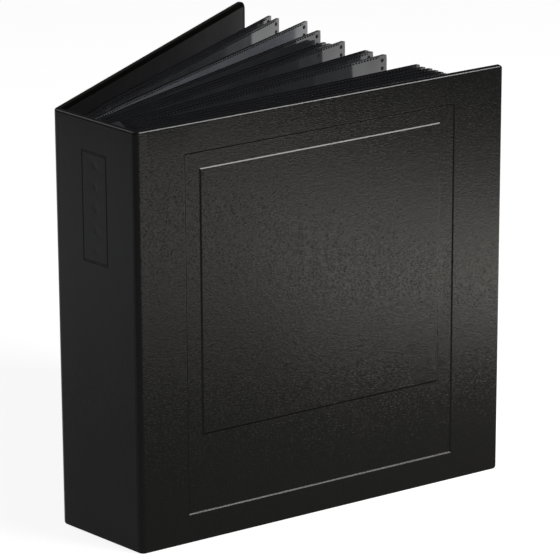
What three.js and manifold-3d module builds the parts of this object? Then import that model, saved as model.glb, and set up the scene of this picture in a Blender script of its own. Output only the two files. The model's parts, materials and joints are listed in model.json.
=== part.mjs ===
// Hardcover pocket album for instant prints, standing on its bottom edges with its leaves fanned.
// Millimetres, +Z up. The origin is the middle of the spine's bottom edge face. +X runs from the
// spine to the fore-edge, -Y is the front cover's side and +Y the rear cover's side.

import * as THREE from 'three';
import { mergeVertices } from 'three/addons/utils/BufferGeometryUtils.js';
import Module from 'manifold-3d';

const wasm = await Module();
wasm.setup();

// case, the hard cover
const height = 245;          // of the covers and the spine
const coverReach = 233;      // hinge line to fore-edge
const spineWidth = 66;       // over both covers when they are shut
const caseThickness = 3.8;   // skin, board and lining together
const skinThickness = 0.8;   // leatherette
const liningThickness = 0.4;
const gap = 0.3;             // between pieces that are glued face to face
const jointRadius = 4;       // outside of the rounded hinge joint
const frontOpening = 15;     // degrees away from shut
const rearOpening = 19;
const cornerRadius = 4;
const liningMargin = 3;

// blind tooling pressed into the skin
const deboss = 0.35;
const panel = { u: 27, z: 17, width: 174, height: 211 };
const window = { u: 37.2, z: 64, width: 153.5, height: 153.5 };
const label = { z: 163, width: 20, height: 64, line: 1.4 };

// leaves
const leafCount = 20;
const frontLeaves = 13;      // leaves that turn with the front cover
const leafPitch = 2.8;
const leafBottom = 6;
const leafTop = 237;
const leafReach = 222;       // spine to leaf fore-edge, when shut
const firstCrease = 5.5;     // where the outermost leaves bend
const creaseStep = 1.6;      // each leaf further in bends that much further out
const sheetThickness = 0.5;
const filmThickness = 0.3;
const filmStart = 6;         // from the crease to the pockets
const leafCorner = 3;
const stripThickness = 1;
const creaseClearance = 0.6;

// the fan as it stands: degrees from straight out, and how far the fore-edge rides up or down
const fan = [-13.7, -13.4, -13.1, -12.8, -12.5, -12.2, -11.9, -11.4, -10.6, -10.2,
  -2.9, -0.6, -0.4, 3.9, 5.9, 6.2, 6.6, 8.4, 13.0, 13.7];
const lift = [-1, -1, -1, -1, -1, -1, -1, -1, -1.5, -1,
  -1.5, -2, -2, 0, -3.5, -3.5, 3, 7, 5.5, 6];

const look = {
  leatherette: new THREE.MeshStandardMaterial({ color: 0x2b2a28, roughness: 0.55, metalness: 0 }),
  board: new THREE.MeshStandardMaterial({ color: 0x7c776d, roughness: 0.95, metalness: 0 }),
  lining: new THREE.MeshStandardMaterial({ color: 0x1b1b1c, roughness: 0.8, metalness: 0 }),
  sheet: new THREE.MeshStandardMaterial({ color: 0x101012, roughness: 0.5, metalness: 0 }),
  film: new THREE.MeshStandardMaterial({ color: 0x9a9c9f, roughness: 0.15, metalness: 0 }),
  guard: new THREE.MeshStandardMaterial({ color: 0x18181a, roughness: 0.6, metalness: 0 }),
};

const album = new THREE.Group();

function addMesh(parent, name, geometry, material) {
  const mesh = new THREE.Mesh(geometry, material);
  mesh.name = name;
  parent.add(mesh);
  return mesh;
}

// a group whose local X runs along a panel and whose local -Y is the panel's outer side
function hingedGroup(x, y, degrees) {
  const group = new THREE.Group();
  group.position.set(x, y, 0);
  group.rotation.z = THREE.MathUtils.degToRad(degrees);
  album.add(group);
  return group;
}

function toSolid(geometry) {
  const bare = geometry.clone();
  bare.deleteAttribute('normal');
  bare.deleteAttribute('uv');
  const merged = mergeVertices(bare);
  const vertProperties = new Float32Array(merged.attributes.position.array);
  const triVerts = new Uint32Array(merged.index.array);
  return new wasm.Manifold(new wasm.Mesh({ numProp: 3, vertProperties, triVerts }));
}

function toGeometry(solid) {
  const mesh = solid.getMesh();
  const geometry = new THREE.BufferGeometry();
  geometry.setAttribute('position', new THREE.BufferAttribute(mesh.vertProperties, 3));
  geometry.setIndex(new THREE.BufferAttribute(mesh.triVerts, 1));
  geometry.computeVertexNormals();
  return geometry;
}

// rectangle from u0 to u1 and z0 to z1, with the two corners at u1 rounded
function outline(u0, u1, z0, z1, radius) {
  const shape = new THREE.Shape();
  shape.moveTo(u0, z0);
  if (radius > 0) {
    shape.lineTo(u1 - radius, z0);
    shape.absarc(u1 - radius, z0 + radius, radius, -Math.PI / 2, 0, false);
    shape.lineTo(u1, z1 - radius);
    shape.absarc(u1 - radius, z1 - radius, radius, 0, Math.PI / 2, false);
  } else {
    shape.lineTo(u1, z0);
    shape.lineTo(u1, z1);
  }
  shape.lineTo(u0, z1);
  shape.closePath();
  return shape;
}

// the outline standing in the local XZ plane, filling y0 to y1
function plate(shape, y0, y1) {
  const geometry = new THREE.ExtrudeGeometry(shape, { depth: y1 - y0, bevelEnabled: false, curveSegments: 5 });
  geometry.rotateX(Math.PI / 2);
  geometry.translate(0, y1, 0);
  return geometry;
}

// a plate between two depths under a panel's outer face; side is -1 in front and +1 behind
function layer(shape, depth0, depth1, side) {
  const a = side * (jointRadius - depth0);
  const b = side * (jointRadius - depth1);
  return plate(shape, Math.min(a, b), Math.max(a, b));
}

// the frame left between two rectangles, cut as deep as the tooling from the outer face
function toolingCut(outer, inner, side) {
  const past = 1;
  const ring = outline(outer.u, outer.u + outer.width, outer.z, outer.z + outer.height, 0);
  const island = outline(inner.u, inner.u + inner.width, inner.z, inner.z + inner.height, 0);
  const cut = toSolid(layer(ring, -past, deboss, side));
  return cut.subtract(toSolid(layer(island, -2 * past, deboss + past, side)));
}

// leatherette tray over one board: a face and turned edges, open towards the inside of the album
function skin(u0, u1, side, radius, closedAtEnd, tooling) {
  const t = skinThickness;
  const past = 2;
  const uEnd = closedAtEnd ? u1 - t : u1 + past;
  const body = toSolid(layer(outline(u0, u1, 0, height, radius), 0, caseThickness, side));
  const hollowRadius = closedAtEnd ? radius - t : 0;
  const hollow = outline(u0 - past, uEnd, t, height - t, hollowRadius);
  let solid = body.subtract(toSolid(layer(hollow, t, caseThickness + past, side)));
  if (tooling) solid = solid.subtract(tooling);
  return toGeometry(solid);
}

function addPanel(group, prefix, u0, u1, side, radius, closedAtEnd, tooling) {
  const edge = skinThickness + gap;
  const boardEnd = closedAtEnd ? u1 - edge : u1;
  const boardRadius = closedAtEnd ? radius - edge : 0;
  const liningFrom = caseThickness - liningThickness;
  const liningEnd = closedAtEnd ? u1 - liningMargin : u1;
  addMesh(group, `${prefix}_skin`, skin(u0, u1, side, radius, closedAtEnd, tooling), look.leatherette);
  const board = outline(u0, boardEnd, edge, height - edge, boardRadius);
  addMesh(group, `${prefix}_board`, layer(board, edge, liningFrom - gap, side), look.board);
  const lining = outline(u0, liningEnd, liningMargin, height - liningMargin, 0);
  addMesh(group, `${prefix}_lining`, layer(lining, liningFrom, caseThickness, side), look.lining);
}

// quarter round of leatherette from the spine's face to the cover's face
function addJointStrip(name, axisX, axisY, startAngle) {
  const strip = new THREE.Shape();
  const endAngle = startAngle + Math.PI / 2;
  const inner = jointRadius - skinThickness;
  strip.absarc(0, 0, jointRadius, startAngle, endAngle, false);
  strip.lineTo(inner * Math.cos(endAngle), inner * Math.sin(endAngle));
  strip.absarc(0, 0, inner, endAngle, startAngle, true);
  strip.closePath();
  const geometry = new THREE.ExtrudeGeometry(strip, { depth: height, bevelEnabled: false, curveSegments: 8 });
  addMesh(album, name, geometry, look.leatherette).position.set(axisX, axisY, 0);
}

const outerFace = -caseThickness / 2;
const axisX = outerFace + jointRadius;
const axisY = spineWidth / 2 - jointRadius;
const coverStart = jointRadius + gap;

function addCase() {
  const spineHalf = axisY - gap;
  const spine = hingedGroup(axisX, 0, -90);
  const frameOuter = { u: -label.width / 2, z: label.z, width: label.width, height: label.height };
  const frameInner = {
    u: frameOuter.u + label.line,
    z: label.z + label.line,
    width: label.width - 2 * label.line,
    height: label.height - 2 * label.line,
  };
  addPanel(spine, 'spine', -spineHalf, spineHalf, -1, 0, false, toolingCut(frameOuter, frameInner, -1));

  const front = hingedGroup(axisX, -axisY, -frontOpening);
  const frontTooling = toolingCut(panel, window, -1);
  addPanel(front, 'front_cover', coverStart, coverReach, -1, cornerRadius, true, frontTooling);

  const rear = hingedGroup(axisX, axisY, rearOpening);
  addPanel(rear, 'rear_cover', coverStart, coverReach, 1, cornerRadius, true, null);

  addJointStrip('front_joint_strip', axisX, -axisY, Math.PI);
  addJointStrip('rear_joint_strip', axisX, axisY, Math.PI / 2);
}

// leaf rows count from the front cover
function rowY(index) {
  return (index - (leafCount - 1) / 2) * leafPitch;
}

function creaseX(index) {
  const rank = index < frontLeaves ? index : leafCount - 1 - index;
  return firstCrease + rank * creaseStep;
}

// glued block of leaf roots, stepped so that each leaf bends clear of the one outside it
function addBinding() {
  const backX = outerFace + caseThickness + gap;
  const half = (leafCount * leafPitch) / 2 - gap;
  const strip = new THREE.BoxGeometry(stripThickness, 2 * half, leafTop - leafBottom);
  strip.translate(backX + stripThickness / 2, 0, (leafTop + leafBottom) / 2);
  addMesh(album, 'binding_strip', strip, look.guard);

  const x0 = backX + stripThickness + gap;
  const steps = new THREE.Shape();
  steps.moveTo(x0, -half);
  for (let i = 0; i < leafCount; i += 1) {
    const x = creaseX(i) - creaseClearance;
    steps.lineTo(x, Math.max(rowY(i) - leafPitch / 2, -half));
    steps.lineTo(x, Math.min(rowY(i) + leafPitch / 2, half));
  }
  steps.lineTo(x0, half);
  steps.closePath();
  const block = new THREE.ExtrudeGeometry(steps, { depth: leafTop - leafBottom, bevelEnabled: false });
  addMesh(album, 'leaf_root_block', block, look.guard).position.z = leafBottom;
}

// slides every point up in proportion to its distance from the crease
function shearUp(geometry, rise) {
  const position = geometry.attributes.position;
  for (let i = 0; i < position.count; i += 1) {
    position.setZ(i, position.getZ(i) + rise * position.getX(i));
  }
  geometry.computeVertexNormals();
  return geometry;
}

// clear film folded round the fore-edge: the pockets are the two slots between it and the sheet
function filmGeometry(length) {
  const half = sheetThickness / 2 + gap + filmThickness;
  const slotHalf = half - filmThickness;
  const past = 5;
  const body = plate(outline(filmStart, length, leafBottom + 0.5, leafTop - 0.5, leafCorner), -half, half);
  const slot = outline(filmStart - past, length - filmThickness, leafBottom - past, leafTop + past, 0);
  return toGeometry(toSolid(body).subtract(toSolid(plate(slot, -slotHalf, slotHalf))));
}

function addLeaf(index) {
  const name = `leaf_${String(index + 1).padStart(2, '0')}`;
  const x = creaseX(index);
  const length = leafReach - x;
  const rise = lift[index] / length;
  const leaf = hingedGroup(x, rowY(index), fan[index]);
  const sheetEnd = length - filmThickness - gap;
  const half = sheetThickness / 2;
  const sheet = plate(outline(0, sheetEnd, leafBottom, leafTop, leafCorner), -half, half);
  addMesh(leaf, `${name}_sheet`, shearUp(sheet, rise), look.sheet);
  addMesh(leaf, `${name}_film`, shearUp(filmGeometry(length), rise), look.film);
}

addCase();
addBinding();
for (let i = 0; i < leafCount; i += 1) addLeaf(i);

export default album;
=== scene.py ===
import json
import math

import bmesh
import bpy
from mathutils import Matrix, Vector


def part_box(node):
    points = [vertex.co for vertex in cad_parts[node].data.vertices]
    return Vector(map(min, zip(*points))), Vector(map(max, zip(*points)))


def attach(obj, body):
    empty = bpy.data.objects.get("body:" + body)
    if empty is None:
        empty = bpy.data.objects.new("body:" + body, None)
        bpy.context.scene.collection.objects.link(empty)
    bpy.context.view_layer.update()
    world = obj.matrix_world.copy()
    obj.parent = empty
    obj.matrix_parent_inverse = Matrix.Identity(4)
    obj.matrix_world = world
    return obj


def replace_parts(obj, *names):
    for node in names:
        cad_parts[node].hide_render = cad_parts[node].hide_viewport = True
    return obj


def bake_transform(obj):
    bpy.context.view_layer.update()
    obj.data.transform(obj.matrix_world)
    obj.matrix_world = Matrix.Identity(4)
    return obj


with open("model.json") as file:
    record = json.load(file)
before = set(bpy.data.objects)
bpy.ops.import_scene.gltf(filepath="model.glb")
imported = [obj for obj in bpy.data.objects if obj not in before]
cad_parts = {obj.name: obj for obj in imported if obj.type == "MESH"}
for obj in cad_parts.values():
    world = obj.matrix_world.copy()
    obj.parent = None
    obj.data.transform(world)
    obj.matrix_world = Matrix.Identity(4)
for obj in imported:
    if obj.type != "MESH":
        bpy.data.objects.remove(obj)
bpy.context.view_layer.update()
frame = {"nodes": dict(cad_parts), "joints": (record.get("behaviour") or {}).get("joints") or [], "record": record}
mm = 0.001
tiny = 1e-6       # two corners closer than this are level
aligned = 0.99    # a normal this near an axis belongs to a flat face
nodes = frame["nodes"]
joints = {joint["name"]: joint for joint in frame["joints"]}
couplings = {c["joint"]: c for c in frame["record"]["behaviour"]["couplings"]}


# a socket of a shader node, which can be added, subtracted and multiplied
class Value:
    def __init__(self, shader, socket):
        self.shader = shader
        self.socket = socket

    def math(self, operation, other):
        return self.shader.node("ShaderNodeMath", {"operation": operation}, [self, other])

    def __add__(self, other):
        return self.math("ADD", other)

    def __sub__(self, other):
        return self.math("SUBTRACT", other)

    def __mul__(self, other):
        return self.math("MULTIPLY", other)

    def __radd__(self, other):
        return self.math("ADD", other)


class Shader:
    # one material and its node tree
    def __init__(self, name, viewColour):
        self.material = bpy.data.materials.new(name)
        self.material.use_nodes = True
        self.material.diffuse_color = (*viewColour, 1)
        self.tree = self.material.node_tree
        self.tree.nodes.clear()

    def node(self, kind, settings=None, inputs=None, output=0):
        made = self.tree.nodes.new(kind)
        for key, value in (settings or {}).items():
            if key == "stops":
                self.setStops(made.color_ramp, value)
            else:
                setattr(made, key, value)
        pairs = inputs.items() if isinstance(inputs, dict) else enumerate(inputs or [])
        for key, value in pairs:
            if isinstance(value, Value):
                self.tree.links.new(value.socket, made.inputs[key])
            elif value is not None:
                made.inputs[key].default_value = value
        return Value(self, made.outputs[output])

    def setStops(self, ramp, stops):
        while len(ramp.elements) < len(stops):
            ramp.elements.new(0.5)
        for element, (place, level) in zip(ramp.elements, stops):
            element.position = place
            element.color = (level, level, level, 1)

    def place(self, scale=(1, 1, 1)):
        coordinates = self.node("ShaderNodeTexCoord", None, None, "Object")
        return self.node("ShaderNodeMapping", None, {"Vector": coordinates, "Scale": scale})

    def noise(self, where, scale, detail=2.0, roughness=0.5):
        inputs = {"Vector": where, "Scale": scale, "Detail": detail, "Roughness": roughness}
        return self.node("ShaderNodeTexNoise", None, inputs, "Fac")

    def cells(self, where, scale):
        inputs = {"Vector": where, "Scale": scale}
        return self.node("ShaderNodeTexVoronoi", {"feature": "DISTANCE_TO_EDGE"}, inputs, "Distance")

    def ramp(self, factor, *stops):
        return self.node("ShaderNodeValToRGB", {"stops": stops}, {"Fac": factor})

    def mixColour(self, factor, a, b):
        inputs = {"Factor": factor, 6: (*a, 1), 7: (*b, 1)}
        return self.node("ShaderNodeMix", {"data_type": "RGBA"}, inputs, 2)

    def bump(self, height, distance, strength=1.0):
        inputs = {"Height": height, "Distance": distance, "Strength": strength}
        return self.node("ShaderNodeBump", None, inputs)

    def finish(self, surface):
        output = self.tree.nodes.new("ShaderNodeOutputMaterial")
        self.tree.links.new(surface.socket, output.inputs["Surface"])
        return self.material


leather = {
    "dark": (0.0012, 0.0012, 0.0011), "light": (0.0030, 0.0029, 0.0026),
    "stretch": (0.45, 0.45, 1.25), "grain": 1000.0, "drawn": (0.55, 0.55, 1.5), "fine": 720.0,
    "broad": 22.0, "patch": 140.0, "depth": 0.00013,
    "roughness": 0.12, "specular": 0.08, "paintedSheenWeight": 0.6, "paintedSheenRoughness": 0.3, "paintedShadeRoughness": 0.8,
}


def makeLeather():
    s = Shader("blackLeatherette", leather["light"])
    creases = s.ramp(s.cells(s.place(leather["stretch"]), leather["grain"]), (0.0, 0.0), (0.32, 1.0))
    fine = s.noise(s.place(leather["drawn"]), leather["fine"], 3.0, 0.6)
    broad = s.noise(s.place(), leather["broad"], 3.0)
    patch = s.noise(s.place(), leather["patch"], 2.0)
    height = creases * 0.3 + fine * 0.9 + patch * 0.2
    colour = s.mixColour(creases * 0.55 + broad * 0.45, leather["dark"], leather["light"])
    rough = leather["roughness"] + (broad - 0.5) * 0.12 + (fine - 0.5) * 0.1
    facing = s.node("ShaderNodeTexCoord", None, None, "Normal")
    upward = s.node("ShaderNodeSeparateXYZ", None, [facing], "Z")
    foreward = s.node("ShaderNodeSeparateXYZ", None, [facing], "X")
    # painted sheen: rounded edges that look up get an extra gloss coat, chosen by their facing, so they catch a
    # bright highlight
    rim = s.ramp(upward, (0.2, 0.0), (0.45, 1.0), (0.86, 1.0), (0.96, 0.0))
    shaded = s.ramp(upward * -1, (0.15, 0.0), (0.4, 1.0)) + s.ramp(foreward, (0.1, 0.0), (0.3, 1.0))
    inputs = {
        "Base Color": colour, "Roughness": rough, "Specular IOR Level": leather["specular"],
        "Coat Weight": rim * leather["paintedSheenWeight"], "Coat Roughness": leather["paintedSheenRoughness"],
        "Normal": s.bump(height, leather["depth"]),
    }
    leatherWithPaintedSheen = s.node("ShaderNodeBsdfPrincipled", None, inputs)
    # painted shade: walls of the tooling that look down or away lose all reflection, so they read as dark lines
    paintedShadeInputs = {
        "Base Color": (*leather["light"], 1), "Roughness": leather["paintedShadeRoughness"],
        "Specular IOR Level": 0.0,
    }
    paintedShadeBsdf = s.node("ShaderNodeBsdfPrincipled", None, paintedShadeInputs)
    return s.finish(s.node("ShaderNodeMixShader", None, {0: shaded, 1: leatherWithPaintedSheen, 2: paintedShadeBsdf}))


# cloud and fibre: scale, detail and roughness of the noise that tints and of the one that textures
plain = {
    "lining": {
        "name": "blackLiningPaper", "view": (0.015, 0.015, 0.016),
        "dark": (0.003, 0.003, 0.0035), "light": (0.006, 0.006, 0.007),
        "cloud": (45.0, 2.0, 0.5), "fibre": (1900.0, 3.0, 0.65), "stretch": (1, 1, 0.35),
        "fibreShare": 0.5, "roughness": 0.5, "uneven": 0.2, "specular": 0.1, "depth": 0.00005,
    },
    "board": {
        "name": "greyboard", "view": (0.28, 0.26, 0.23),
        "dark": (0.2, 0.185, 0.16), "light": (0.36, 0.34, 0.3),
        "cloud": (700.0, 4.0, 0.7), "fibre": (700.0, 4.0, 0.7), "stretch": (1, 1, 1),
        "fibreShare": 0.0, "roughness": 0.9, "uneven": 0.08, "specular": 0.5, "depth": 0.0001,
    },
    "sheet": {
        "name": "blackSheet", "view": (0.008, 0.008, 0.009),
        "dark": (0.004, 0.004, 0.005), "light": (0.009, 0.009, 0.0105),
        "cloud": (60.0, 2.0, 0.5), "fibre": (2200.0, 2.0, 0.5), "stretch": (1, 1, 1),
        "fibreShare": 0.0, "roughness": 0.3, "uneven": 0.12, "specular": 0.3, "depth": 0.00002,
    },
    "weld": {
        "name": "weldedPlastic", "view": (0.006, 0.006, 0.007),
        "dark": (0.002, 0.002, 0.0025), "light": (0.006, 0.006, 0.007),
        "cloud": (1400.0, 2.0, 0.5), "fibre": (1400.0, 2.0, 0.5), "stretch": (1, 1, 1),
        "fibreShare": 0.0, "roughness": 0.5, "uneven": 0.2, "specular": 0.12, "depth": 0.00004,
    },
}


def makePlain(look):
    # paper, board or plain plastic: a cloudy tint and a fibrous surface
    s = Shader(look["name"], look["view"])
    cloud = s.noise(s.place(), *look["cloud"])
    fibre = s.noise(s.place(look["stretch"]), *look["fibre"])
    share = look["fibreShare"]
    colour = s.mixColour(cloud * (1 - share) + fibre * share, look["dark"], look["light"])
    inputs = {
        "Base Color": colour, "Roughness": look["roughness"] + cloud * look["uneven"],
        "Specular IOR Level": look["specular"], "Normal": s.bump(fibre, look["depth"]),
    }
    return s.finish(s.node("ShaderNodeBsdfPrincipled", None, inputs))


films = {
    "film": {
        "name": "pocketFilm", "roughness": 0.05,
        "dark": (0.013, 0.0135, 0.015), "light": (0.024, 0.025, 0.028),
    },
    # a hazier, rougher copy of the film whose much lighter body is painted light, for the leaf that should look
    # lit
    "hazyFilmPaintedLight": {
        "name": "hazyFilmPaintedLight", "roughness": 0.2,
        "dark": (0.058, 0.062, 0.07), "light": (0.092, 0.098, 0.108),
    },
}
filmSurface = {"ripple": 38.0, "smear": 75.0, "depth": 0.0012, "strength": 0.3, "index": 1.52}


def makeFilm(look):
    # clear film lying on black sheet: a dark, faintly milky body under two smooth, rippled surfaces
    s = Shader(look["name"], look["light"])
    ripple = s.noise(s.place((1, 1, 0.5)), filmSurface["ripple"], 2.0)
    smear = s.noise(s.place((1, 1, 0.7)), filmSurface["smear"], 3.0)
    colour = s.mixColour(smear, look["dark"], look["light"])
    normal = s.bump(ripple, filmSurface["depth"], filmSurface["strength"])
    inputs = {
        "Base Color": colour, "Roughness": look["roughness"] + smear * 0.06,
        "IOR": filmSurface["index"], "Normal": normal,
        "Coat Weight": 0.6 + smear * 0.4, "Coat Roughness": look["roughness"],
    }
    return s.finish(s.node("ShaderNodeBsdfPrincipled", None, inputs))


studio = {
    "view": (0.9, 0.9, 0.9), "dark": (0.24, 0.24, 0.24), "light": (0.26, 0.26, 0.26),
    "mottle": 6.0, "glow": 0.875, "halfFloor": 12.0, "world": 0.1,
}


def makeFloor():
    s = Shader("paleFloor", studio["view"])
    mottle = s.noise(s.place(), studio["mottle"], 2.0)
    colour = s.mixColour(mottle, studio["dark"], studio["light"])
    paper = s.node("ShaderNodeBsdfDiffuse", None, {"Color": colour})
    glow = s.node("ShaderNodeEmission", None, {"Color": (1, 1, 1, 1), "Strength": studio["glow"]})
    return s.finish(s.node("ShaderNodeAddShader", None, [paper, glow]))


finishes = {"leather": makeLeather()}
finishes.update({name: makePlain(look) for name, look in plain.items()})
finishes.update({name: makeFilm(look) for name, look in films.items()})
print("materials made")


def toMesh(name, bm):
    mesh = bpy.data.meshes.new(name)
    bm.to_mesh(mesh)
    bm.free()
    return mesh


def makeObject(name, bm, finish, body=None):
    mesh = toMesh(name, bm)
    mesh.materials.append(finishes[finish])
    piece = bpy.data.objects.new(name, mesh)
    bpy.context.scene.collection.objects.link(piece)
    if body:
        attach(piece, body)
    return piece


def block(bm, low, high):
    # an axis-aligned box between two corners, its new vertices
    size = Vector(high) - Vector(low)
    middle = (Vector(high) + Vector(low)) / 2
    matrix = Matrix.Translation(middle) @ Matrix.Diagonal((*size, 1))
    return bmesh.ops.create_cube(bm, size=1, matrix=matrix)["verts"]


def bevelEdges(bm, edges, offset, segments):
    return bmesh.ops.bevel(
        bm, geom=edges, offset=offset, offset_type="OFFSET", segments=segments,
        profile=0.5, affect="EDGES", material=-1, clamp_overlap=True)


def middleOf(element):
    return sum((v.co for v in element.verts), Vector()) / len(element.verts)


def cornersIn(geometry):
    return [g for g in geometry if isinstance(g, bmesh.types.BMVert)]


def withEdges(faces):
    # faces with their edges and corners, as the cutting operator takes them
    return faces + list({e for f in faces for e in f.edges}) + list({v for f in faces for v in f.verts})


def cut(bm, geometry, point, normal):
    bmesh.ops.bisect_plane(bm, geom=geometry, plane_co=point, plane_no=normal, dist=1e-7)


def smoothAll(bm):
    for face in bm.faces:
        face.smooth = True


def weighNormals(piece):
    # big flat faces keep their shading beside the rounded edges
    weighted = piece.modifiers.new("evenShading", "WEIGHTED_NORMAL")
    weighted.mode = "FACE_AREA"
    weighted.weight = 100
    weighted.keep_sharp = True
    return piece


def pulled(value, low, high):
    # smooth step from 0 at low to 1 at high
    t = min(max((value - low) / (high - low), 0), 1)
    return t * t * (3 - 2 * t)


def place(bm, matrix, mirror=False):
    if mirror:
        bmesh.ops.scale(bm, vec=(1, -1, 1), verts=bm.verts)
        bmesh.ops.reverse_faces(bm, faces=bm.faces)
    bmesh.ops.transform(bm, matrix=matrix, verts=bm.verts)


# the case: panels in their own frame, u along X and the outer face at -Y
hingeAt = {side: Vector(joints[f"{side}_cover_hinge"]["pos_m"]) for side in ("front", "rear")}
case = {
    "height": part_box("spine_skin")[1].z,
    "radius": hingeAt["front"].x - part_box("spine_skin")[0].x,
    "reach": 233 * mm, "hingeGap": 4.3 * mm, "corner": {"front": 2.0 * mm, "rear": 5.4 * mm},
    "thickness": 3.5 * mm, "leatherThickness": 0.38 * mm,
    "outerRound": 1.4 * mm, "innerRound": 0.7 * mm, "turnIn": 14 * mm,
    "crispAngle": math.radians(15), "smallestFlat": 1e-5, "jointStart": 0.2 * mm, "jointSteps": 12,
    "liningThickness": 0.4 * mm, "liningMargin": 3 * mm, "liningGap": 1.5 * mm, "liningLift": 0.05 * mm,
    "liningCorner": 1.5 * mm, "liningRound": 0.15 * mm,
}
openAngle = {
    "front": -math.radians(joints["front_cover_hinge"]["range_deg"][1]),
    "rear": -math.radians(joints["rear_cover_hinge"]["range_deg"][0]),
}
coverPlace = {s: Matrix.Translation(hingeAt[s]) @ Matrix.Rotation(openAngle[s], 4, "Z") for s in hingeAt}
spinePlace = Matrix.Translation((hingeAt["front"].x, 0, 0)) @ Matrix.Rotation(-math.pi / 2, 4, "Z")
spineHalf = hingeAt["rear"].y

coverTooling = {
    "outer": (27 * mm, 17 * mm, 201 * mm, 228 * mm),   # low u, low z, high u, high z
    "inner": (37.2 * mm, 64 * mm, 190.7 * mm, 217.5 * mm),
    "slope": 0.8 * mm, "depth": 0.6 * mm, "soften": 0.24 * mm,
}
spineTooling = {
    "outer": (-10 * mm, 163 * mm, 10 * mm, 227 * mm),
    "inner": (-8.6 * mm, 164.4 * mm, 8.6 * mm, 225.6 * mm),
    "slope": 0.4 * mm, "depth": 0.3 * mm, "soften": 0.1 * mm,
    "lozenges": 5, "lozenge": 2.125 * mm, "cellInset": 3.5 * mm,
}


def outerFaces(bm):
    level = min(v.co.y for v in bm.verts)
    return [f for f in bm.faces if f.normal.y < -aligned and abs(middleOf(f).y - level) < 0.01 * mm]


def cutLines(bm, tooling):
    # straight cuts across the outer face along every side of both rectangles
    for key in ("outer", "inner"):
        for index, value in enumerate(tooling[key]):
            axis = Vector((1, 0, 0)) if index % 2 == 0 else Vector((0, 0, 1))
            cut(bm, withEdges(outerFaces(bm)), axis * value, axis)


def within(point, rectangle):
    return rectangle[0] < point.x < rectangle[2] and rectangle[1] < point.z < rectangle[3]


def pressFrame(bm, tooling):
    cutLines(bm, tooling)
    ring = [f for f in outerFaces(bm)
            if within(middleOf(f), tooling["outer"]) and not within(middleOf(f), tooling["inner"])]
    slopes = bmesh.ops.inset_region(
        bm, faces=ring, thickness=tooling["slope"], depth=-tooling["depth"],
        use_boundary=True, use_even_offset=True)["faces"]
    creases = [e for f in slopes for e in f.edges if sum(g in slopes for g in e.link_faces) == 1]
    bevelEdges(bm, list(set(creases)), tooling["soften"], 2)
    level = min(v.co.y for v in bm.verts)
    pressed = [f for f in bm.faces
               if within(middleOf(f), tooling["outer"]) and middleOf(f).y - level < 2 * tooling["depth"]]
    for edge in {e for f in pressed for e in f.edges}:
        if edge.calc_face_angle(0) > case["crispAngle"]:    # the mitres stay crisp
            edge.smooth = False


def pressLozenges(bm, tooling):
    # the field inside the frame is divided into cells, and each holds one small lozenge
    low, high = tooling["inner"][1], tooling["inner"][3]
    count = tooling["lozenges"]
    for step in range(1, count):
        faces = [f for f in outerFaces(bm) if within(middleOf(f), tooling["inner"])]
        cut(bm, withEdges(faces), Vector((0, 0, low + (high - low) * step / count)), (0, 0, 1))
    cells = [f for f in outerFaces(bm) if within(middleOf(f), tooling["inner"])]
    bmesh.ops.inset_individual(
        bm, faces=cells, thickness=tooling["cellInset"], depth=0, use_even_offset=True)
    turn = Matrix.Rotation(math.pi / 4, 4, "Y")
    for face in cells:
        middle = middleOf(face)
        for v in face.verts:
            side = v.co - middle
            square = Vector((math.copysign(1, side.x), 0, math.copysign(1, side.z)))
            v.co = middle + (turn @ square) * tooling["lozenge"]
    bmesh.ops.inset_individual(
        bm, faces=cells, thickness=tooling["slope"], depth=-tooling["depth"], use_even_offset=True)


def leatherShell(name, u0, u1, matrix, mirror, cover, tooling=None, lozenges=False):
    # a leather tray over one board: outer face, turned edges and the turn-in inside
    bm = bmesh.new()
    block(bm, (u0, -case["radius"], 0), (u1, case["thickness"] - case["radius"], case["height"]))
    if cover:
        corners = [e for e in bm.edges if abs(e.verts[0].co.x - u1) + abs(e.verts[1].co.x - u1) < tiny
                   and abs(e.verts[0].co.z - e.verts[1].co.z) < tiny]
        bevelEdges(bm, corners, case["corner"]["rear" if mirror else "front"], 8)
    ends = [f for f in bm.faces if f.normal.x < -aligned or (not cover and f.normal.x > aligned)]
    bmesh.ops.delete(bm, geom=ends, context="FACES_ONLY")
    for sign, key in ((-1, "outerRound"), (1, "innerRound")):
        rim = [e for e in bm.edges
               if len(e.link_faces) == 2 and any(sign * f.normal.y > aligned for f in e.link_faces)]
        bevelEdges(bm, rim, case[key], 4)
    up, out = Vector((0, 0, 1)), Vector((1, 0, 0))
    folds = [(up, case["turnIn"]), (up, case["height"] - case["turnIn"])]
    if cover:
        folds.append((out, u1 - case["turnIn"]))
    for normal, value in folds:
        faces = [f for f in bm.faces if f.normal.y > aligned and f.calc_area() > case["smallestFlat"]]
        cut(bm, withEdges(faces), normal * value, normal)
    field = [f for f in bm.faces if f.normal.y > aligned
             and case["turnIn"] < middleOf(f).z < case["height"] - case["turnIn"]
             and (not cover or middleOf(f).x < u1 - case["turnIn"])]
    bmesh.ops.delete(bm, geom=field, context="FACES_ONLY")
    if tooling:
        pressFrame(bm, tooling)
    if lozenges:
        pressLozenges(bm, tooling)
    loose = [e for e in bm.edges if not e.link_faces]
    bmesh.ops.delete(bm, geom=loose, context="EDGES")
    smoothAll(bm)
    place(bm, matrix, mirror)
    piece = makeObject(name, bm, "leather")
    wall = piece.modifiers.new("leatherThickness", "SOLIDIFY")
    wall.thickness = case["leatherThickness"]
    wall.offset = -1
    weighNormals(piece)
    return piece


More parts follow.
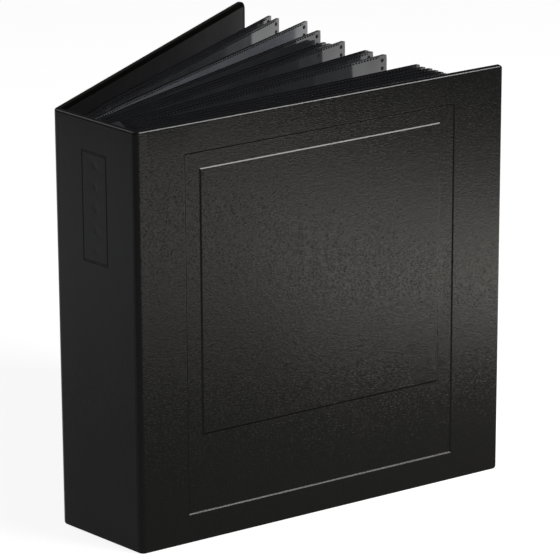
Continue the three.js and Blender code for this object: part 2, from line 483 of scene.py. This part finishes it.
def coverSkins():
    low, high = case["hingeGap"], case["reach"]
    front = leatherShell("frontCoverSkin", low, high, coverPlace["front"], False, True, coverTooling)
    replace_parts(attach(front, "front_cover"), "front_cover_skin")
    rear = leatherShell("rearCoverSkin", low, high, coverPlace["rear"], True, True)
    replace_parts(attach(rear, "rear_cover"), "rear_cover_skin")
    spine = leatherShell(
        "spineSkin", -spineHalf, spineHalf, spinePlace, False, False, spineTooling, True)
    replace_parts(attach(spine, "spine"), "spine_skin")


def linings():
    # lining papers over the turn-ins
    depth0 = case["thickness"] - case["radius"] + case["liningLift"]
    low, high = case["liningMargin"], case["height"] - case["liningMargin"]
    atHinge, atEdge = case["hingeGap"] + case["liningGap"], case["reach"] - case["liningMargin"]
    halfSpine = spineHalf - case["liningGap"]
    spans = {
        "front_cover": (atHinge, atEdge, coverPlace["front"], False),
        "rear_cover": (atHinge, atEdge, coverPlace["rear"], True),
        "spine": (-halfSpine, halfSpine, spinePlace, False),
    }
    for body, (u0, u1, matrix, mirror) in spans.items():
        bm = bmesh.new()
        block(bm, (u0, depth0, low), (u1, depth0 + case["liningThickness"], high))
        corners = [e for e in bm.edges
                   if abs(e.verts[0].co.y - e.verts[1].co.y) > tiny and e.verts[0].co.x > u1 - tiny]
        bevelEdges(bm, corners, case["liningCorner"], 4)
        rim = [e for e in bm.edges if any(f.normal.y > aligned for f in e.link_faces)]
        bevelEdges(bm, rim, case["liningRound"], 2)
        smoothAll(bm)
        place(bm, matrix, mirror)
        piece = weighNormals(makeObject(f"{body.split('_')[0]}Lining", bm, "lining", body))
        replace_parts(piece, f"{body}_lining")


coverSkins()
linings()
print("case made")


# the hinges: a leather wall that rounds each edge of the spine and sweeps round to meet its cover as built
def jointLeather(side):
    mirror = side == "rear"
    turn = openAngle[side]
    sweep = math.pi / 2 - abs(turn)
    wall = case["thickness"]
    bm = bmesh.new()
    block(bm, (-case["radius"], 0, 0), (wall - case["radius"], case["jointStart"], case["height"]))
    for face in [f for f in bm.faces if abs(f.normal.y) > aligned]:
        bmesh.ops.delete(bm, geom=[face], context="FACES_ONLY")
    for sign, key in ((-1, "outerRound"), (1, "innerRound")):
        rim = [e for e in bm.edges
               if len(e.link_faces) == 2 and any(sign * f.normal.x > aligned for f in e.link_faces)]
        bevelEdges(bm, rim, case[key], 4)
    start = [e for e in bm.edges if e.is_boundary and max(v.co.y for v in e.verts) < tiny]
    swept = bmesh.ops.spin(
        bm, geom=start, cent=(0, 0, 0), axis=(0, 0, 1), dvec=(0, 0, 0),
        angle=sweep, steps=case["jointSteps"], use_duplicate=False)
    end = [g for g in swept["geom_last"] if isinstance(g, bmesh.types.BMEdge)]
    along = Vector((math.cos(-abs(turn)), math.sin(-abs(turn)), 0))
    flat = bmesh.ops.extrude_edge_only(bm, edges=end)["geom"]
    bmesh.ops.translate(bm, vec=along * case["hingeGap"], verts=cornersIn(flat))
    bmesh.ops.remove_doubles(bm, verts=bm.verts, dist=tiny)
    caps = bmesh.ops.holes_fill(bm, edges=[e for e in bm.edges if e.is_boundary], sides=0)["faces"]
    bmesh.ops.recalc_face_normals(bm, faces=bm.faces)
    for edge in {e for cap in caps for e in cap.edges}:
        edge.smooth = False
    smoothAll(bm)
    place(bm, Matrix.Translation(hingeAt[side]), mirror)
    piece = weighNormals(makeObject(f"{side}JointLeather", bm, "leather"))
    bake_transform(piece)
    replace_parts(piece, f"{side}_joint_strip")


for side in ("front", "rear"):
    jointLeather(side)
print("hinges made")


# the leaves: a black sheet with film pockets welded to both faces
leaf = {
    "count": sum(name.endswith("_sheet") for name in nodes),
    "low": 6 * mm, "high": 237 * mm, "tip": 222 * mm, "halfSheet": 0.25 * mm,
    "filmStart": 6 * mm, "filmInset": 0.6 * mm, "film": 0.12 * mm,
    "weldedHalf": 0.42 * mm, "pocketHalf": 0.85 * mm, "corner": 3 * mm,
    "weldBand": 2.4 * mm, "pillowRun": 7 * mm, "grid": (54, 42),
    "bendFrom": -2 * mm, "bendTo": 38 * mm, "bendCuts": 13, "bendStep": 3 * mm,
    "columns": (8 * mm, 112 * mm), "rows": (7.2 * mm, 121.5 * mm, 235.8 * mm),
    "dot": (1.3 * mm, 0.8 * mm), "dotPitch": 2.3 * mm, "dotRise": 0.42 * mm, "hazyPaintedLitLeaves": (18,),
    "dotSink": 0.05 * mm, "dotTaper": 0.35, "dotMargin": 3 * mm, "dotEnd": 4 * mm, "edgeWeld": 2.5 * mm,
    "rootHalf": 1.3 * mm, "rootRound": 0.45 * mm, "sheetStart": 0.3 * mm,
    "mark": 1.3 * mm, "markTop": 1.04 * mm, "markHeight": 0.5 * mm,
    "markInset": 3.8 * mm, "markDrops": (3.4 * mm, 8.2 * mm),
}


class Leaf:
    # where one leaf springs from, how far it fans out and how its fore-edge lifts
    def __init__(self, number):
        self.number = number
        self.body = f"leaf_{number:02d}"
        joint = joints[f"{self.body}_crease"]
        coupling = couplings[joint["name"]]
        master = joints[coupling["follows"]]["range_deg"]
        closed = master[1] if coupling["follows"].startswith("front") else master[0]
        self.pivot = Vector(joint["pos_m"])
        self.fan = -math.radians(coupling["ratio"] * closed)
        self.length = leaf["tip"] - self.pivot.x
        low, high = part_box(f"{self.body}_sheet")
        self.lift = (high.z - leaf["high"]) + (low.z - leaf["low"])

    def put(self, co):
        # a point of the flat leaf, s along X, to its place on the fanned leaf
        angle = self.fan * pulled(co.x, leaf["bendFrom"], leaf["bendTo"])
        turned = Matrix.Rotation(angle, 3, "Z") @ Vector((co.x, co.y, 0))
        return self.pivot + turned + Vector((0, 0, co.z + self.lift * co.x / self.length))

    def finish(self, name, bm, finish, node=None):
        for v in bm.verts:
            v.co = self.put(v.co)
        smoothAll(bm)
        piece = makeObject(f"{name}{self.body[-2:]}", bm, finish)
        along = Vector((math.cos(self.fan / 2), math.sin(self.fan / 2), 0))
        self.pivot + along * leaf["bendFrom"]
        self.pivot + along * leaf["bendTo"]
        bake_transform(piece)
        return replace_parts(piece, node) if node else piece


def pillow(s, z, length):
    # half thickness of the pocket at a point: flat at the welds, full between them
    across = [abs(s - w) for w in (*leaf["columns"], length - leaf["edgeWeld"])]
    along = [abs(z - w) for w in leaf["rows"]]
    rise = pulled(min(across + along), leaf["weldBand"], leaf["weldBand"] + leaf["pillowRun"])
    return leaf["weldedHalf"] + (leaf["pocketHalf"] - leaf["weldedHalf"]) * rise


def roundCorners(bm, s):
    corners = [e for e in bm.edges if all(v.co.x > s - tiny for v in e.verts)
               and abs(e.verts[0].co.z - e.verts[1].co.z) < tiny
               and abs(e.verts[0].co.y - e.verts[1].co.y) > tiny]
    bevelEdges(bm, corners, leaf["corner"], 5)


def leafSheet(page):
    bm = bmesh.new()
    start = (leaf["sheetStart"], -leaf["halfSheet"], leaf["low"])
    block(bm, start, (page.length, leaf["halfSheet"], leaf["high"]))
    roundCorners(bm, page.length)
    for step in range(1, leaf["bendCuts"] + 1):
        cut(bm, bm.verts[:] + bm.edges[:] + bm.faces[:], (step * leaf["bendStep"], 0, 0), (1, 0, 0))
    weighNormals(page.finish("leafSheet", bm, "sheet", f"{page.body}_sheet"))


def leafFilm(page):
    bm = bmesh.new()
    middle = Vector(((leaf["filmStart"] + page.length) / 2, 0, (leaf["low"] + leaf["high"]) / 2))
    size = Vector((page.length - leaf["filmStart"], 1, leaf["high"] - leaf["low"]))
    size -= Vector((1, 0, 2)) * leaf["filmInset"]
    for side in (-1, 1):
        matrix = (Matrix.Translation(middle) @ Matrix.Diagonal((size.x, 1, size.z, 1))
                  @ Matrix.Rotation(math.pi / 2, 4, "X"))
        outer = bmesh.ops.create_grid(
            bm, x_segments=leaf["grid"][0], y_segments=leaf["grid"][1], size=0.5, matrix=matrix)["verts"]
        faces = list({f for v in outer for f in v.link_faces})
        for v in outer:
            v.co.y = side * pillow(v.co.x, v.co.z, page.length)
        inner = bmesh.ops.extrude_face_region(bm, geom=faces)["geom"]
        bmesh.ops.translate(bm, vec=(0, -side * leaf["film"], 0), verts=cornersIn(inner))
    bmesh.ops.recalc_face_normals(bm, faces=bm.faces)
    # the listed leaves take the hazy film with its painted light body
    finish = "hazyFilmPaintedLight" if page.number in leaf["hazyPaintedLitLeaves"] else "film"
    weighNormals(page.finish("leafFilm", bm, finish, f"{page.body}_film"))


def dotRow(bm, start, step, count, side):
    # a straight row of pressed dots
    width, depth = leaf["dot"]
    if abs(step.z) > 0:
        width, depth = depth, width
    sunk, risen = leaf["weldedHalf"] - leaf["dotSink"], leaf["weldedHalf"] + leaf["dotRise"]
    low = Vector((start.x - width / 2, side * sunk, start.z - depth / 2))
    high = Vector((start.x + width / 2, side * risen, start.z + depth / 2))
    if side < 0:
        low.y, high.y = high.y, low.y
    first = block(bm, low, high)
    crown = [v for v in first if abs(v.co.y) > leaf["weldedHalf"]]
    middle = sum((v.co for v in crown), Vector()) / len(crown)
    for v in crown:
        v.co += (middle - v.co) * leaf["dotTaper"]
    faces = list({f for v in first for f in v.link_faces})
    edges = list({e for f in faces for e in f.edges})
    bmesh.ops.spin(
        bm, geom=first + edges + faces, cent=(0, 0, 0), axis=(0, 1, 0), dvec=step, angle=0,
        steps=count, use_duplicate=True)


def weldRows(length):
    # the seams that run along a leaf, and the one between its two columns of pockets
    bm = bmesh.new()
    pitch = leaf["dotPitch"]
    low, _, high = leaf["rows"]
    for side in (-1, 1):
        for row in (low, high):
            start = Vector((leaf["columns"][0], 0, row))
            dotRow(bm, start, Vector((pitch, 0, 0)), int((length - start.x) / pitch), side)
        start = Vector((leaf["columns"][1], 0, low + leaf["dotMargin"]))
        dotRow(bm, start, Vector((0, 0, pitch)), int((high - low - 2 * leaf["dotMargin"]) / pitch), side)
    return toMesh("weldRows", bm)


def weldEdge():
    # the two pressed marks at the fore-edge, which lies at X = 0
    bm = bmesh.new()
    for side in (-1, 1):
        for drop in leaf["markDrops"]:
            centre = (-leaf["markInset"], side * leaf["weldedHalf"], leaf["high"] - drop)
            matrix = Matrix.Translation(centre) @ Matrix.Rotation(-side * math.pi / 2, 4, "X")
            bmesh.ops.create_cone(
                bm, cap_ends=True, segments=14, radius1=leaf["mark"], radius2=leaf["markTop"],
                depth=leaf["markHeight"], matrix=matrix)
    return toMesh("weldEdge", bm)


def leafWelds(page, rows, edge):
    bm = bmesh.new()
    bm.from_mesh(edge)
    bmesh.ops.translate(bm, vec=(page.length, 0, 0), verts=bm.verts)
    atEdge = set(bm.verts)
    bm.from_mesh(rows)
    pitch, first = leaf["dotPitch"], leaf["columns"][0]
    last = first + pitch * (int((page.length - leaf["dotEnd"] - first) / pitch) - 0.1)
    past = [v for v in bm.verts if v.co.x > last and v not in atEdge]
    bmesh.ops.delete(bm, geom=past, context="VERTS")
    page.finish("leafWelds", bm, "weld")


def leafRoots(pages):
    # the folded roots of the leaves, stacked side by side on the binding strip
    bm = bmesh.new()
    low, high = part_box("leaf_root_block")
    for page in pages:
        part = bmesh.new()
        half = leaf["rootHalf"]
        start = (low.x, page.pivot.y - half, low.z)
        block(part, start, (page.pivot.x - leaf["sheetStart"], page.pivot.y + half, high.z))
        bevelEdges(part, part.edges[:], leaf["rootRound"], 2)
        mesh = toMesh("root", part)
        bm.from_mesh(mesh)
        bpy.data.meshes.remove(mesh)
    smoothAll(bm)
    piece = weighNormals(makeObject("leafRoots", bm, "sheet", "spine"))
    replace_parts(piece, "leaf_root_block")


pages = [Leaf(number) for number in range(1, leaf["count"] + 1)]
rows, edge = weldRows(leaf["tip"]), weldEdge()
for page in pages:
    leafSheet(page)
    leafFilm(page)
    leafWelds(page, rows, edge)
leafRoots(pages)
print("leaves made")


# camera, light and floor
def makeCamera():
    settings = {
        "place": (-1.3648, -1.4535, 0.8778), "yaw": 43.97, "pitch": 20.0, "roll": 0.23,
        "lens": 250.0, "sensor": 36.0, "clipEnd": 50.0,
    }
    camera = bpy.data.objects.new("camera", bpy.data.cameras.new("camera"))
    camera.data.lens = settings["lens"]
    camera.data.sensor_width = settings["sensor"]
    camera.data.clip_end = settings["clipEnd"]
    yaw, pitch = math.radians(settings["yaw"]), math.radians(settings["pitch"])
    ahead = Vector((math.cos(pitch) * math.cos(yaw), math.cos(pitch) * math.sin(yaw), -math.sin(pitch)))
    turn = ahead.to_track_quat("-Z", "Y").to_matrix().to_4x4()
    roll = Matrix.Rotation(-math.radians(settings["roll"]), 4, "Z")
    camera.matrix_world = Matrix.Translation(settings["place"]) @ turn @ roll
    bpy.context.scene.collection.objects.link(camera)
    bpy.context.scene.camera = camera


warm, cool, white = (1, 0.96, 0.89), (0.95, 0.98, 1), (1, 1, 1)
lamps = {
    "key": {
        "at": (0.49, -0.85, 1.03), "to": (0.1, -0.06, 0.22), "size": (0.6, 0.6),
        "power": 17.0, "colour": white,
    },
    "lowPanel": {
        "at": (0.19, -0.31, 0.0775), "to": (-0.27, 0.58, 0.0775), "size": (0.54, 0.115),
        "power": 0.65, "colour": warm,
    },
    "leftPanel": {
        "at": (0.057, -0.379, 0.0775), "to": (-0.403, 0.511, 0.0775), "size": (0.24, 0.115),
        "power": 0.15, "colour": warm,
    },
    "lowStrip": {
        "at": (0.314, -0.246, 0.0485), "to": (-0.146, 0.644, 0.0485), "size": (0.34, 0.053),
        "power": 0.45, "colour": warm,
    },
    "spinePanel": {
        "at": (-0.22, 0.2, 0.08), "to": (0, -0.012, 0.08), "size": (0.3, 0.16),
        "power": 0.09, "colour": cool,
    },
    "backFill": {
        "at": (-0.2, 0.85, 1.2), "to": (0, 0, 0.24), "size": (0.8, 0.8),
        "power": 3.5, "colour": white,
    },
}


def makeLamps():
    for name, values in lamps.items():
        lamp = bpy.data.lights.new(name, "AREA")
        lamp.shape = "RECTANGLE"
        lamp.size, lamp.size_y = values["size"]
        lamp.energy = values["power"]
        lamp.color = values["colour"]
        holder = bpy.data.objects.new(name, lamp)
        holder.location = values["at"]
        towards = Vector(values["to"]) - Vector(values["at"])
        holder.rotation_euler = towards.to_track_quat("-Z", "Y").to_euler()
        bpy.context.scene.collection.objects.link(holder)


def makeFloorAndWorld():
    bm = bmesh.new()
    bmesh.ops.create_grid(bm, x_segments=1, y_segments=1, size=studio["halfFloor"])
    mesh = toMesh("floor", bm)
    mesh.materials.append(makeFloor())
    floor = bpy.data.objects.new("floor", mesh)
    bpy.context.scene.collection.objects.link(floor)
    world = bpy.data.worlds.new("studio")
    world.use_nodes = True
    background = world.node_tree.nodes["Background"]
    background.inputs["Color"].default_value = (1, 1, 1, 1)
    background.inputs["Strength"].default_value = studio["world"]
    bpy.context.scene.world = world


makeCamera()
makeLamps()
makeFloorAndWorld()
bpy.context.scene.view_settings.view_transform = "Standard"

for name, finish in {
    "front_cover_board": "board", "rear_cover_board": "board", "spine_board": "board",
    "binding_strip": "sheet",
}.items():
    nodes[name].data.materials.clear()
    nodes[name].data.materials.append(finishes[finish])

print("finished")
